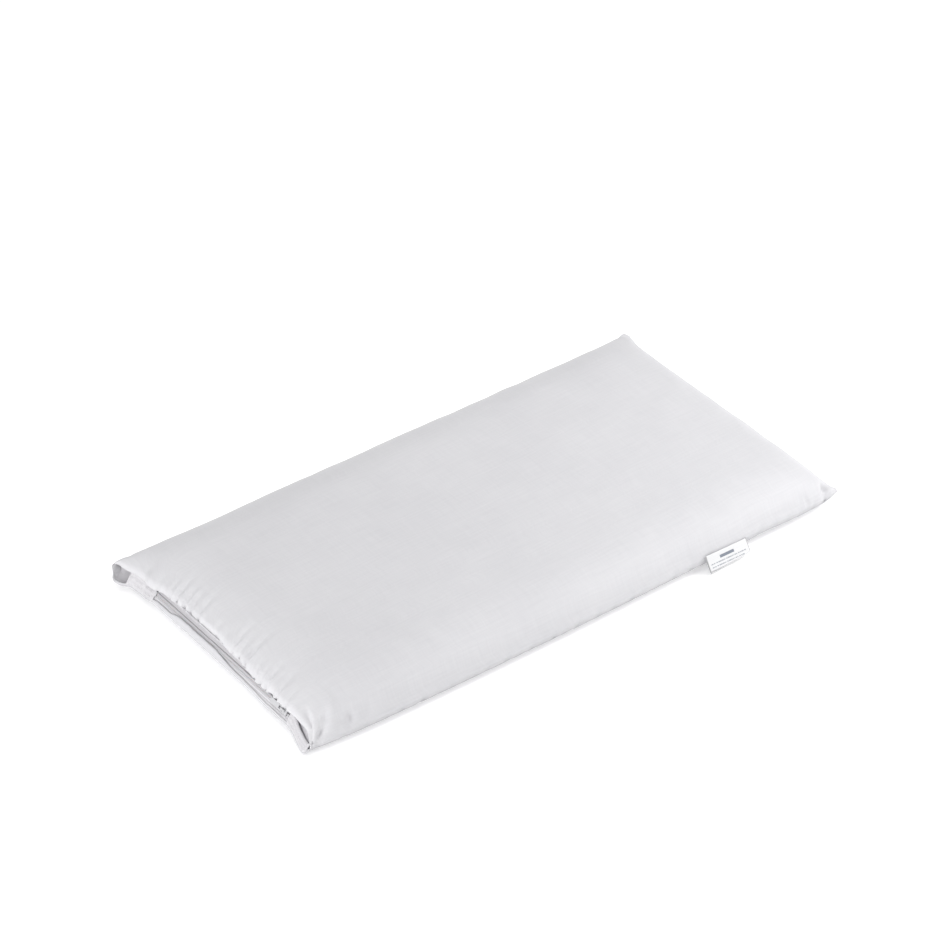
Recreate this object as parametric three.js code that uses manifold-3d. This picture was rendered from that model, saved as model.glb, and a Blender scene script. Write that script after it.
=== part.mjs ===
// A flat, filled pillow in a removable case that closes with a coil zip along one short end.
// Millimetres, +Z up. The origin is the middle of the flat underside; the zip end is at -X,
// the long side that carries the sewn-in label is at -Y.
import * as THREE from "three";
import Module from "manifold-3d";

// ---- Driving dimensions -------------------------------------------------------------------
const LENGTH = 580; // along X, from corner tip to corner tip
const WIDTH = 295; // along Y, from corner tip to corner tip
const THICKNESS = 42; // crown above the surface that the pillow lies on
const CLOTH = 0.8; // case cloth with its backing
const LINING = 0.6; // inner pad's cover
const GAP = 0.3; // between pieces that touch
const LAYER_GAP = 0.4; // between the case, the pad's cover and the filling

const SEAM_HEIGHT = 13; // side seam at the middle of a side
const TIP_HEIGHT = { zipFront: 8, zipBack: 22, sewnFront: 13, sewnBack: 22 };
const TIP_POWER = 10; // how suddenly the seam climbs or drops to its corner tip
const BACK_BOW = 2; // the back side bulges between its tips
const FRONT_BOW = 5; // and the front side bulges more
const FRONT_NARROWING = 1; // the front tips stand this much further in than the back ones
const SEWN_END_DIP = 3; // the sewn short end is drawn in between its tips
const ZIP_END_DIP = 12; // and the zip end is drawn in more
const TIP_FLARE = { zipFront: 4, zipBack: 12 }; // how far a tip stands out past the drawn-in end
const FLARE_POWER = 12;
const BLUNT_BACK_TIP = { from: 0.95, cut: 0.5 }; // the back tip at the zip is cut back to a blunt end
const ZIP_FRONT_TUCK = 5; // the front corner at the zip is pulled in along Y as well

// A surface reaches its full level at this distance in from the edge; power 2 is an ellipse
const CROWN = { reach: 55, power: 2.2 };
const BELLY = { reach: 25, power: 1.8 };

// The mouth of the case, which the zip closes: its lower lip is the bottom panel's edge and its
// upper lip the top panel's folded edge, which stands back from the lower one.
const LIP_LOW_HEIGHT = 8.5;
const LIP_TOP_HEIGHT = 22;
const LIP_SETBACK = 8;
const MOUTH_POWER = 16; // how suddenly the mouth closes at the corner tips
// Near the front corner the lower lip droops to the floor and the upper lip falls to the tip.
const DROOP = { from: 0.74, full: 0.94, fade: 0.95, depth: 5.5, outward: 4 };
const FALL = { from: 0.8, power: 1.1 };

// The inner pad's outline, inside the case's seam allowances
const PAD = { zipEnd: -260, sewnEnd: 277, halfWidth: 137, seamHeight: 15 };

// Seam allowances turned into the case, and overlocked
const ALLOWANCE = { start: 1.6, end: 8, thickness: 1.4, reach: 0.9 };

// A number 3 coil zip, in its own axes: X across the tapes, Y along them, Z outward
const COIL = { halfLength: 97, from: 0.25, to: 2.1, low: -1.5, high: -GAP };
const TAPE = { front: -112, back: 126, from: 0.9, low: -2.4, high: -1.8, hidden: 1.5, lowerGap: 0.5 };
const SLIDER = {
  length: 9,
  halfWidth: 3.4,
  flange: 0.8,
  topThickness: 1.2,
  bottomLow: -3.5,
  bottomHigh: -2.7,
  postLength: 2,
  postHalfWidth: 0.7,
};
const BAIL = { length: 5.4, halfWidth: 0.8, foot: 0.9, hole: 0.95, height: 1.8 };
const PULL = { halfWidth: 2.2, length: 17, thickness: 0.8, bar: 0.5, eyeEnd: 4.6, rim: 0.9 };
const STOP = { length: 2, from: 0.5, to: 2.4, low: -1.5, high: 0 };
const BOTTOM_STOP = { length: 5, halfWidth: 2.4, low: -1.5, high: 0.1 };
const TAB = { frontStart: 105, backStart: 106, end: 136, edge: 1, low: -0.4, high: 0.2 };

// The label, a folded ribbon sewn into the front seam, which hangs to the floor
const LABEL = { xFrom: 133, xTo: 180, top: 14.5, foot: 0.9, rootOut: 0.9, footOut: 10.5, thickness: 0.7 };

// ---- Outline of the case -------------------------------------------------------------------
const halfLength = LENGTH / 2;
const halfWidth = WIDTH / 2;

// 0 below 0, 1 above 1, and an even curve between
function smooth(t) {
  const held = Math.min(1, Math.max(0, t));
  return held * held * (3 - 2 * held);
}

// 1 in the middle of the zip end and 0 at its two corner tips
const mouthOpening = (v) => Math.sqrt(Math.max(0, 1 - Math.abs(v) ** MOUTH_POWER));
const zipTip = (v) => (v < 0 ? TIP_HEIGHT.zipFront : TIP_HEIGHT.zipBack);
const sewnTip = (v) => (v < 0 ? TIP_HEIGHT.sewnFront : TIP_HEIGHT.sewnBack);

// X of the zip end at v, where its two tips flare out past its drawn-in middle
function zipEnd(v) {
  const flare = (v < 0 ? TIP_FLARE.zipFront : TIP_FLARE.zipBack) * Math.abs(v) ** FLARE_POWER;
  const { from, cut: share } = BLUNT_BACK_TIP;
  const blunt = 1 - share * smooth((v - from) / (1 - from));
  return -halfLength + ZIP_END_DIP - flare * blunt;
}

// X and height of the mouth's lower lip
function lowerLip(v) {
  const { from, full, fade, depth, outward } = DROOP;
  const droop = smooth((-v - from) / (full - from)) * (1 - smooth((-v - fade) / (1 - fade)));
  const height = zipTip(v) + (LIP_LOW_HEIGHT - zipTip(v)) * mouthOpening(v);
  return { x: zipEnd(v) - outward * droop, height: height - depth * droop };
}

// and of its upper lip
function upperLip(v) {
  const fallen = Math.min(1, Math.max(0, (-v - FALL.from) / (1 - FALL.from)));
  const opening = Math.min(mouthOpening(v), 1 - fallen ** FALL.power);
  const height = zipTip(v) + (LIP_TOP_HEIGHT - zipTip(v)) * opening;
  return { x: zipEnd(v) + LIP_SETBACK * opening, height };
}

// Height of the seam that the surface at (u, v) hangs from; u and v run from -1 to 1
function seamHeight(u, v, lip) {
  const tip = u < 0 ? zipTip(v) : sewnTip(v);
  const side = SEAM_HEIGHT + (tip - SEAM_HEIGHT) * Math.abs(u * v) ** TIP_POWER;
  const nearZip = Math.max(0, -u) ** TIP_POWER;
  return side * (1 - nearZip) + lip(v).height * nearZip;
}

// Half the width at u, on the side that v is on
function sideReach(u, v) {
  if (v >= 0) return halfWidth + BACK_BOW * (1 - u ** 4);
  const tuck = ZIP_FRONT_TUCK * Math.max(0, -u) ** TIP_POWER;
  return halfWidth - FRONT_NARROWING + FRONT_BOW * (1 - u ** 2) - tuck;
}

const caseOutline = (lip) => ({
  low: (v) => lip(v).x,
  high: (v) => halfLength - SEWN_END_DIP * (1 - v ** 4),
  side: sideReach,
  seam: (u, v) => seamHeight(u, v, lip),
});
const topOutline = caseOutline(upperLip);
const bottomOutline = caseOutline(lowerLip);
const padOutline = {
  low: () => PAD.zipEnd,
  high: () => PAD.sewnEnd,
  side: () => PAD.halfWidth,
  seam: () => PAD.seamHeight,
};

// 0 at the edge, rising round to 1 at a distance of reach
function roundEdge(distance, { reach, power }) {
  const left = Math.min(1, Math.max(0, 1 - distance / reach));
  return (1 - left ** power) ** (1 / power);
}

// A point of a surface stretched over an outline drawn in by inset. Its middle is at level, it
// leaves the seam lift above it, and its corners are full: they rise along with either edge.
function surfacePoint(outline, u, v, { inset, level, edge, lift }) {
  const low = outline.low(v) + inset;
  const high = outline.high(v) - inset;
  const side = outline.side(u, v) - inset;
  const x = low + ((high - low) * (u + 1)) / 2;
  const y = side * v;
  const lengthways = roundEdge(Math.min(x - low, high - x), edge);
  const crossways = roundEdge(side - Math.abs(y), edge);
  const both = lengthways * crossways;
  const rise = both > 0 ? both / (lengthways + crossways - both) : 0;
  const seam = outline.seam(u, v) + lift;
  return [x, y, seam + (level - seam) * rise];
}

// Grid lines close together at the edges, where the surfaces bend
function gridLines(distances, half, inner) {
  const lines = distances.map((d) => -1 + d / half);
  return [...lines, ...inner, ...lines.map((t) => -t).reverse()];
}
const EDGE_STEPS = [0, 1.5, 4, 8, 14, 22, 32, 43, 56];
const TIP_STEP = 85; // distance in from an end where its tips begin to climb
const MIDDLE_LINES = [-0.4, 0.1, 0.5];
// One grid for every surface, so that two that meet at a seam follow the same line
const grid = {
  u: gridLines([...EDGE_STEPS, TIP_STEP], halfLength, MIDDLE_LINES),
  v: gridLines(EDGE_STEPS, halfWidth, []),
};

// ---- Mesh helpers --------------------------------------------------------------------------
function closedGeometry(points, triangles) {
  const geometry = new THREE.BufferGeometry();
  geometry.setAttribute("position", new THREE.Float32BufferAttribute(points.flat(), 3));
  geometry.setIndex(triangles.flat());
  geometry.computeVertexNormals();
  return geometry;
}

// The border of an n by m grid, as indices in order round it
function gridBorder(n, m) {
  const at = (i, j) => i * m + j;
  const border = [];
  for (let i = 0; i < n - 1; i++) border.push(at(i, 0));
  for (let j = 0; j < m - 1; j++) border.push(at(n - 1, j));
  for (let i = n - 1; i > 0; i--) border.push(at(i, m - 1));
  for (let j = m - 1; j > 0; j--) border.push(at(0, j));
  return border;
}

// Two surfaces over the grid, the upper one facing up and the lower one facing down, joined by a
// band round their borders. Their borders may be the same points.
function between(upper, lower) {
  const n = grid.u.length;
  const m = grid.v.length;
  const points = [];
  for (const surface of [upper, lower]) {
    for (const u of grid.u) {
      for (const v of grid.v) points.push(surface(u, v));
    }
  }
  const triangles = [];
  const quad = (a, b, c, d) => triangles.push([a, b, c], [a, c, d]);
  const below = n * m;
  for (let i = 0; i < n - 1; i++) {
    for (let j = 0; j < m - 1; j++) {
      const a = i * m + j;
      quad(a, a + m, a + m + 1, a + 1);
      quad(below + a, below + a + 1, below + a + m + 1, below + a + m);
    }
  }
  const border = gridBorder(n, m);
  border.forEach((a, k) => {
    const b = border[(k + 1) % border.length];
    quad(a, below + a, below + b, b);
  });
  return closedGeometry(points, triangles);
}

// A solid swept through stations, each the four corners of its section in order
function sweep(stations) {
  const points = stations.flat();
  const last = (stations.length - 1) * 4;
  const firstEnd = [[0, 1, 2], [0, 2, 3]];
  const lastEnd = [[last, last + 2, last + 1], [last, last + 3, last + 2]];
  const triangles = [...firstEnd, ...lastEnd];
  for (let k = 0; k < stations.length - 1; k++) {
    for (let c = 0; c < 4; c++) {
      const a = 4 * k + c;
      const b = 4 * k + ((c + 1) % 4);
      triangles.push([a, a + 4, b + 4], [a, b + 4, b]);
    }
  }
  return closedGeometry(points, triangles);
}

function box(low, high) {
  const size = high.map((value, k) => value - low[k]);
  const geometry = new THREE.BoxGeometry(...size);
  return geometry.translate(...low.map((value, k) => value + size[k] / 2));
}

// Joins and cuts
const wasm = await Module();
wasm.setup();
function toSolid(geometry) {
  const source = geometry.index ? geometry : indexed(geometry);
  return new wasm.Manifold(
    new wasm.Mesh({
      numProp: 3,
      vertProperties: new Float32Array(source.getAttribute("position").array),
      triVerts: new Uint32Array(source.index.array),
    }),
  );
}

// The same triangles with the corners that coincide shared
function indexed(geometry) {
  const plain = geometry.index ? geometry.toNonIndexed() : geometry;
  const position = plain.getAttribute("position");
  const seen = new Map();
  const points = [];
  const corners = [];
  for (let k = 0; k < position.count; k++) {
    const point = [position.getX(k), position.getY(k), position.getZ(k)];
    const key = point.map((value) => value.toFixed(4)).join(" ");
    if (!seen.has(key)) {
      seen.set(key, points.length);
      points.push(point);
    }
    corners.push(seen.get(key));
  }
  return closedGeometry(points, corners);
}

function fromSolid(solid) {
  const mesh = solid.getMesh();
  const geometry = new THREE.BufferGeometry();
  geometry.setAttribute("position", new THREE.BufferAttribute(mesh.vertProperties, 3));
  geometry.setIndex(new THREE.BufferAttribute(mesh.triVerts, 1));
  geometry.computeVertexNormals();
  return geometry;
}

function join(geometries) {
  const solids = geometries.map((geometry) => toSolid(indexed(geometry)));
  return fromSolid(solids.reduce((whole, solid) => whole.add(solid)));
}

function cut(geometry, tool) {
  return fromSolid(toSolid(indexed(geometry)).subtract(toSolid(indexed(tool))));
}

// ---- Finishes ------------------------------------------------------------------------------
const finish = (color, roughness, metalness = 0) => ({ color, roughness, metalness });
const CASE_CLOTH = finish(0xf1f1f4, 0.62);
const LINING_CLOTH = finish(0xeeeeea, 0.85);
const FIBRE = finish(0xf6f6f2, 0.95);
const TAPE_CLOTH = finish(0xe2e2e6, 0.8);
const COIL_NYLON = finish(0xe9e9ee, 0.45);
const THREAD = finish(0xf7f7f8, 0.6);
const LACQUER = finish(0xececee, 0.35, 0.1);
const LABEL_SATIN = finish(0xfbfbfc, 0.4);

function part(name, geometry, look) {
  const mesh = new THREE.Mesh(geometry, new THREE.MeshStandardMaterial(look));
  mesh.name = name;
  return mesh;
}

// ---- The inner pad -------------------------------------------------------------------------
// Its edges are rounder than the case's, so that it stays inside them.
const PAD_EDGE = { top: { ...CROWN, power: 1.8 }, bottom: BELLY };
const PAD_LEVEL = { top: THICKNESS - CLOTH - LAYER_GAP, bottom: CLOTH + LAYER_GAP };

// The pad's surface on one side, depth below its outside
function padSurface(side, depth) {
  const upward = side === "top" ? 1 : -1;
  const level = PAD_LEVEL[side] - upward * depth;
  const layer = { inset: depth, level, edge: PAD_EDGE[side], lift: (upward * GAP) / 2 };
  return (u, v) => surfacePoint(padOutline, u, v, layer);
}

function padCover(side) {
  const outer = padSurface(side, 0);
  const inner = padSurface(side, LINING);
  return side === "top" ? between(outer, inner) : between(inner, outer);
}

function filling() {
  const depth = LINING + LAYER_GAP;
  return between(padSurface("top", depth), padSurface("bottom", depth));
}

// Overlocking round the pad's edge: a flat ring, cut from two boxes
function padOverlock() {
  const ringWidth = 1.6;
  const halfThickness = 0.6;
  const block = (grow, tall) =>
    box(
      [PAD.zipEnd - grow, -PAD.halfWidth - grow, PAD.seamHeight - tall],
      [PAD.sewnEnd + grow, PAD.halfWidth + grow, PAD.seamHeight + tall],
    );
  return cut(block(LAYER_GAP + ringWidth, halfThickness), block(LAYER_GAP, 2 * halfThickness));
}

// ---- The case ------------------------------------------------------------------------------
function topPanel() {
  const outer = { inset: 0, level: THICKNESS, edge: CROWN, lift: GAP / 2 };
  const inner = { ...outer, inset: CLOTH, level: THICKNESS - CLOTH };
  const surface = (layer) => (u, v) => surfacePoint(topOutline, u, v, layer);
  return between(surface(outer), surface(inner));
}

function bottomPanel() {
  const outer = { inset: 0, level: 0, edge: BELLY, lift: -GAP / 2 };
  const inner = { ...outer, inset: CLOTH, level: CLOTH };
  const surface = (layer) => (u, v) => surfacePoint(bottomOutline, u, v, layer);
  return between(surface(inner), surface(outer));
}

// A seam allowance along a side: inward is the direction from the seam into the case
function allowance(seamPoint, inward) {
  const { start, end, thickness, reach } = ALLOWANCE;
  const steps = 14;
  const stations = [];
  for (let k = 0; k <= steps; k++) {
    const [x, y, z] = seamPoint(-reach + (2 * reach * k) / steps);
    const corner = (depth, height) => [x + inward[0] * depth, y + inward[1] * depth, z + height];
    const half = thickness / 2;
    const lower = [corner(start, -half), corner(end, -half)];
    const upper = [corner(end, half), corner(start, half)];
    stations.push([...lower, ...upper]);
  }
  return stations;
}
const sideSeam = (v) => (u) => {
  const x = topOutline.low(v) + ((topOutline.high(v) - topOutline.low(v)) * (u + 1)) / 2;
  return [x, v * sideReach(u, v), bottomOutline.seam(u, v)];
};
const endSeam = (v) => [topOutline.high(v), v * halfWidth, bottomOutline.seam(1, v)];

// ---- The zip -------------------------------------------------------------------------------
// Its plane runs from the lower lip to the upper lip of the mouth.
const mouthRise = LIP_TOP_HEIGHT - LIP_LOW_HEIGHT;
const mouthWidth = Math.hypot(mouthRise, LIP_SETBACK);
const zipTilt = Math.atan2(mouthRise, LIP_SETBACK);

function tapes() {
  const { front, back, from, low, high, hidden, lowerGap } = TAPE;
  const lip = mouthWidth / 2;
  return [
    part("zip_tape_upper", box([from, front, low], [lip + hidden, back, high]), TAPE_CLOTH),
    part("zip_tape_lower", box([-lip + lowerGap, front, low], [-from, back, high]), TAPE_CLOTH),
  ];
}

const sliderOverhang = SLIDER.length / 4; // how far the closed slider stands past its coils
const sliderFront = -COIL.halfLength - sliderOverhang; // the closed slider's -Y end
function coils() {
  const start = sliderFront + SLIDER.postLength + 2 * GAP;
  const { halfLength: end, from, to, low, high } = COIL;
  return [
    part("zip_coil_upper", box([from, start, low], [to, end, high]), COIL_NYLON),
    part("zip_coil_lower", box([-to, start, low], [-from, end, high]), COIL_NYLON),
  ];
}

function sliderBody() {
  const { length, halfWidth: half, flange, topThickness, bottomLow, bottomHigh } = SLIDER;
  const { postHalfWidth, postLength } = SLIDER;
  const y0 = sliderFront;
  const y1 = sliderFront + length;
  const flangeLow = COIL.low;
  const pieces = [
    box([-half, y0, 0], [half, y1, topThickness]),
    box([-half, y0, flangeLow], [-half + flange, y1, topThickness]),
    box([half - flange, y0, flangeLow], [half, y1, topThickness]),
    box([-half, y0, bottomLow], [half, y1, bottomHigh]),
    box([-postHalfWidth, y0, bottomLow], [postHalfWidth, y0 + postLength, topThickness]),
  ];

  // The bail: two feet and the bridge over them
  const bailLow = topThickness + BAIL.hole;
  const bailHigh = topThickness + BAIL.height;
  const bailStart = (y0 + y1 - BAIL.length) / 2;
  const bailEnd = bailStart + BAIL.length;
  const footLow = topThickness / 2;
  for (const y of [bailStart, bailEnd - BAIL.foot]) {
    pieces.push(box([-BAIL.halfWidth, y, footLow], [BAIL.halfWidth, y + BAIL.foot, bailHigh]));
  }
  pieces.push(box([-BAIL.halfWidth, bailStart, bailLow], [BAIL.halfWidth, bailEnd, bailHigh]));
  return join(pieces);
}

// The pull is a flat tongue with a window; its end bar lies under the slider's bail, and is the
// line that the pull turns about.
const pullAxis = {
  y: sliderFront + SLIDER.length / 2 + BAIL.length / 2 - BAIL.foot - PULL.bar,
  z: SLIDER.topThickness + BAIL.hole / 2,
};
function pullTongue() {
  const { halfWidth: half, length, thickness, bar, eyeEnd } = PULL;
  const outline = new THREE.Shape();
  outline.moveTo(-half, -bar / 2);
  outline.lineTo(half, -bar / 2);
  outline.lineTo(half, length - half);
  outline.absarc(0, length - half, half, 0, Math.PI, false);
  outline.lineTo(-half, -bar / 2);
  const eye = new THREE.Path();
  const eyeHalf = half - PULL.rim;
  eye.moveTo(-eyeHalf, bar / 2);
  eye.lineTo(-eyeHalf, eyeEnd);
  eye.lineTo(eyeHalf, eyeEnd);
  eye.lineTo(eyeHalf, bar / 2);
  eye.lineTo(-eyeHalf, bar / 2);
  outline.holes.push(eye);
  const extrusion = { depth: thickness, bevelEnabled: false, curveSegments: 8 };
  const tongue = new THREE.ExtrudeGeometry(outline, extrusion);
  tongue.translate(0, 0, -thickness / 2);
  // The end bar is thinner than the tongue, so that it turns in the bail
  const shave = thickness;
  const over = box([-2 * half, -bar, bar / 2], [2 * half, bar, shave]);
  const under = box([-2 * half, -bar, -shave], [2 * half, bar, -bar / 2]);
  return cut(cut(tongue, over), under).translate(0, pullAxis.y, pullAxis.z);
}

function stops() {
  const y = sliderFront - GAP;
  const { length, from, to, low, high } = STOP;
  const end = COIL.halfLength + GAP;
  const { halfWidth: half, length: stopLength, low: stopLow, high: stopHigh } = BOTTOM_STOP;
  const bottomStop = box([-half, end, stopLow], [half, end + stopLength, stopHigh]);
  return [
    part("zip_top_stop_upper", box([from, y - length, low], [to, y, high]), LACQUER),
    part("zip_top_stop_lower", box([-to, y - length, low], [-from, y, high]), LACQUER),
    part("zip_bottom_stop", bottomStop, LACQUER),
  ];
}

// A bound, stitched tab over each end of the zip, from the tapes out to the corner. It bends
// where the panels' lips do.
function endTab(side) {
  const reach = sideReach(-1, side);
  const start = (side < 0 ? TAB.frontStart : TAB.backStart) / reach;
  const end = TAB.end / reach;
  const bends = grid.v.filter((v) => v > start && v < end);
  const stations = [];
  for (const share of [start, ...bends, end]) {
    const v = side * share;
    const y = v * reach;
    const low = new THREE.Vector3(lowerLip(v).x, y, lowerLip(v).height);
    const high = new THREE.Vector3(upperLip(v).x, y, upperLip(v).height);
    const across = high.clone().sub(low);
    const near = TAB.edge;
    const far = across.length() - TAB.edge;
    across.normalize();
    const out = across.clone().cross(new THREE.Vector3(0, 1, 0));
    const corner = (s, h) => low.clone().addScaledVector(across, s).addScaledVector(out, h).toArray();
    const lower = [corner(near, TAB.low), corner(near, TAB.high)];
    const upper = [corner(far, TAB.high), corner(far, TAB.low)];
    stations.push([...lower, ...upper]);
  }
  return sweep(side < 0 ? stations : stations.reverse());
}

// ---- The label -----------------------------------------------------------------------------
function label() {
  const { xFrom, xTo, top, foot, rootOut, footOut, thickness } = LABEL;
  const seam = -sideReach(xFrom / halfLength, -1);
  const root = new THREE.Vector2(seam - rootOut, top);
  const tip = new THREE.Vector2(seam - footOut, foot);
  const across = tip.clone().sub(root).normalize();
  const half = new THREE.Vector2(-across.y, across.x).multiplyScalar(thickness / 2);
  const upper = [root.clone().add(half), root.clone().sub(half)];
  const lower = [tip.clone().sub(half), tip.clone().add(half)];
  const station = (x) => [...upper, ...lower].map((point) => [x, point.x, point.y]);
  return sweep([station(xTo), station(xFrom)]);
}

// ---- Assembly ------------------------------------------------------------------------------
const pillow = new THREE.Group();
pillow.add(
  part("fibre_fill", filling(), FIBRE),
  part("pad_cover_top", padCover("top"), LINING_CLOTH),
  part("pad_cover_bottom", padCover("bottom"), LINING_CLOTH),
  part("pad_edge_overlock", padOverlock(), THREAD),
  part("case_top_panel", topPanel(), CASE_CLOTH),
  part("case_bottom_panel", bottomPanel(), CASE_CLOTH),
  part("case_seam_front", sweep(allowance(sideSeam(-1), [0, 1]).reverse()), THREAD),
  part("case_seam_back", sweep(allowance(sideSeam(1), [0, -1])), THREAD),
  part("case_seam_end", sweep(allowance(endSeam, [-1, 0]).reverse()), THREAD),
  part("zip_end_tab_front", endTab(-1), THREAD),
  part("zip_end_tab_back", endTab(1), THREAD),
  part("care_label", label(), LABEL_SATIN),
);

const zip = new THREE.Group();
zip.position.set(zipEnd(0) + LIP_SETBACK / 2, 0, LIP_LOW_HEIGHT + mouthRise / 2);
zip.rotation.y = -zipTilt;
zip.add(...tapes(), ...coils(), ...stops());
zip.add(part("zip_slider", sliderBody(), LACQUER), part("zip_pull", pullTongue(), LACQUER));
pillow.add(zip);

export default pillow;
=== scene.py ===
"""A flat cot pillow in a zipped case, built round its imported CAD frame.

Shapes are worked out in millimetres, in the frame's axes: the zip end is at -X, the long side
with the label is at -Y, and the pillow lies on z = 0.
"""

import math

import bpy
import numpy as np
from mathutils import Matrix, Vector


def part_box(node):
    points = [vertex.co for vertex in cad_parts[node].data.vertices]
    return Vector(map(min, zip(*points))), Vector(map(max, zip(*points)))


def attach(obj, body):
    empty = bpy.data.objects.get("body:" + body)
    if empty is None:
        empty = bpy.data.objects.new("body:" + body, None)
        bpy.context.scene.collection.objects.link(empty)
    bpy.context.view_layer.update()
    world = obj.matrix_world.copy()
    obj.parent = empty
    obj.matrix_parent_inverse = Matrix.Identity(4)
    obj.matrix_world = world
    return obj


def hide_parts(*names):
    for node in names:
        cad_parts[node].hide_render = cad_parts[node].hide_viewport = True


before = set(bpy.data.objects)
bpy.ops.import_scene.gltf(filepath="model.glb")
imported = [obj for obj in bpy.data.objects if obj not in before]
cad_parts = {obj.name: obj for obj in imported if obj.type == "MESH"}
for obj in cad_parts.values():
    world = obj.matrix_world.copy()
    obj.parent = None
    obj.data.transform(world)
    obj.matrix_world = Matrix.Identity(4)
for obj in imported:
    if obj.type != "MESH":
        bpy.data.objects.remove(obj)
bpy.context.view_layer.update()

MM = 0.001
TURN = 2 * math.pi


def box_mm(node):
    """A CAD node's lowest and highest corners in millimetres."""
    low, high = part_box(node)
    return np.array(low) / MM, np.array(high) / MM


# ---- Driving dimensions, from the frame or repeated from the CAD model ----
TOP_HIGH = box_mm("case_top_panel")[1]
HALF_LENGTH = box_mm("case_bottom_panel")[1][0]
BACK_BOW = 2.0  # how far the back side bulges between its tips
FRONT_BOW = 5.0
FRONT_NARROWING = 1.0  # how much further in the front tips stand
FRONT_FULLNESS = 1.8  # a further bulge near the sewn end
HALF_WIDTH = TOP_HIGH[1] - BACK_BOW
THICKNESS = TOP_HIGH[2]
CLOTH = 0.8  # the case cloth's thickness
PANEL_GAP = 0.15  # half the gap between two panels at a seam
SEAM_HEIGHT = 13.0
FRONT_SEAM_DROP = 3.9  # how much lower the front seam lies
SEAM_RISE = 2.0  # how far it is drawn up beside the label
SEAM_RISE_PLACE = 0.69  # where, as a share of the half length
SEWN_END_DIP = 3.0  # how far an end draws in between its tips
ZIP_END_DIP = 12.0
SEWN_TIP_CUT = (-1.9, 4.0)  # how blunt its front and back tips are at the sewn end
ZIP_FRONT_TUCK = 5.0  # how far in the zip's front tip stands
ZIP_FLARE = (4, 12)  # how far the zip end's front and back tips stand out
BACK_FLARE_CUT = 0.3  # the share of it that the back tip loses
TIP_POWER = 10  # the higher, the closer a tip's shape keeps to it
SHARP_TIP_POWER = 24
FLARE_POWER = 12
MOUTH_POWER = 16
CROWN_REACH = 55.0  # how far in from its edge the top goes on rising
BELLY_REACH = 25.0
TOP_ROUNDNESS = 2.2  # 2 rises as a quarter circle
UNDERSIDE_ROUNDNESS = 1.3
PAD_ROUNDNESS = 1.8
ZIP_TIPS = (8.0, 22.0)  # heights of the front and back tips at the zip
SEWN_TIPS = (13.0, 26.0)
LIP_LOW_HEIGHT = 8.5
LIP_TOP_HEIGHT = 22.0
LIP_SETBACK = 8.0
LIP_DROOP = (4.0, 5.5)  # how far out and down the lower lip hangs by the front corner
LIP_SAG = (3.5, 2.0)  # and by the back corner
MOUTH_RISE = LIP_TOP_HEIGHT - LIP_LOW_HEIGHT
MOUTH_MIDDLE = -2.0  # the middle of the zip along Y
# The mouth's directions: from lower lip to upper lip, along the lips, and out of the mouth
ACROSS = np.array([LIP_SETBACK, 0, MOUTH_RISE]) / math.hypot(MOUTH_RISE, LIP_SETBACK)
ALONG = np.array([0, 1, 0])
OUTWARD = np.array([-ACROSS[2], 0, ACROSS[0]])
MOUTH_X = -HALF_LENGTH + ZIP_END_DIP
ZIP_CENTRE = np.array([MOUTH_X + LIP_SETBACK / 2, 0, LIP_LOW_HEIGHT + MOUTH_RISE / 2])


def smooth(t):
    """0 below 0, 1 above 1, and an even curve between."""
    t = np.clip(t, 0, 1)
    return t * t * (3 - 2 * t)


def grid(first, second):
    return np.meshgrid(first, second, indexing="ij")


def xyz(x, y, z):
    return np.stack([x, y, z], axis=-1)


def hump(place, start, rise, end, fall):
    """0 up to start, 1 from start + rise to end, and 0 again beyond end + fall."""
    return smooth((place - start) / rise) * (1 - smooth((place - end) / fall))


def bell(offset, width):
    """1 at no offset, and about a third at width to either side."""
    return np.exp(-((offset / width) ** 2))


def within(y, half, fade):
    """1 about the middle of the zip, fading out by half to either side of it."""
    return smooth((half - np.abs(y - MOUTH_MIDDLE)) / fade)


def by_side(v, front, back):
    """front where v is negative, and back elsewhere."""
    return np.where(v < 0, front, back)


# ---- The case's outline ----
def mouth_opening(v):
    """1 over most of the zip end, closing to 0 at its two tips."""
    return np.sqrt(np.maximum(0, 1 - np.abs(v) ** MOUTH_POWER))


def zip_flare(v):
    """How far the zip end stands out at v. The back corner is blunt, and the front one is not."""
    blunt = 1 - by_side(v, 0, BACK_FLARE_CUT) * smooth((np.abs(v) - 0.95) / 0.05)
    return by_side(v, *ZIP_FLARE) * np.abs(v) ** FLARE_POWER * blunt


def lower_lip(v):
    """x and z of the mouth's lower lip. It droops to the floor near the front corner."""
    tip = by_side(v, *ZIP_TIPS)
    height = tip + (LIP_LOW_HEIGHT - tip) * mouth_opening(v)
    droop = hump(-v, 0.74, 0.20, 0.95, 0.05)
    sag = hump(v, 0.86, 0.08, 0.965, 0.035)
    x = MOUTH_X - zip_flare(v) - LIP_DROOP[0] * droop - LIP_SAG[0] * sag
    return x, height - LIP_DROOP[1] * droop - LIP_SAG[1] * sag


def upper_lip(v):
    """x and z of the mouth's upper lip, which falls to the tip of the front corner."""
    tip = by_side(v, *ZIP_TIPS)
    fall = 1 - np.clip((-v - 0.80) / 0.20, 0, 1) ** 1.1
    opening = np.minimum(mouth_opening(v), by_side(v, fall, 1))
    height = tip + (LIP_TOP_HEIGHT - tip) * opening
    return MOUTH_X - zip_flare(v) + LIP_SETBACK * opening, height


def side_reach(u, v):
    """How far a long side lies from the middle line, at u along it."""
    tuck = by_side(v, ZIP_FRONT_TUCK, 0) * np.maximum(0, -u) ** TIP_POWER
    fuller = FRONT_FULLNESS * hump(u, 0.6, 0.3, 0.94, 0.06)
    front = FRONT_BOW * (1 - u**2) - FRONT_NARROWING + fuller
    return HALF_WIDTH + by_side(v, front, BACK_BOW * (1 - u**4)) - tuck


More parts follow.
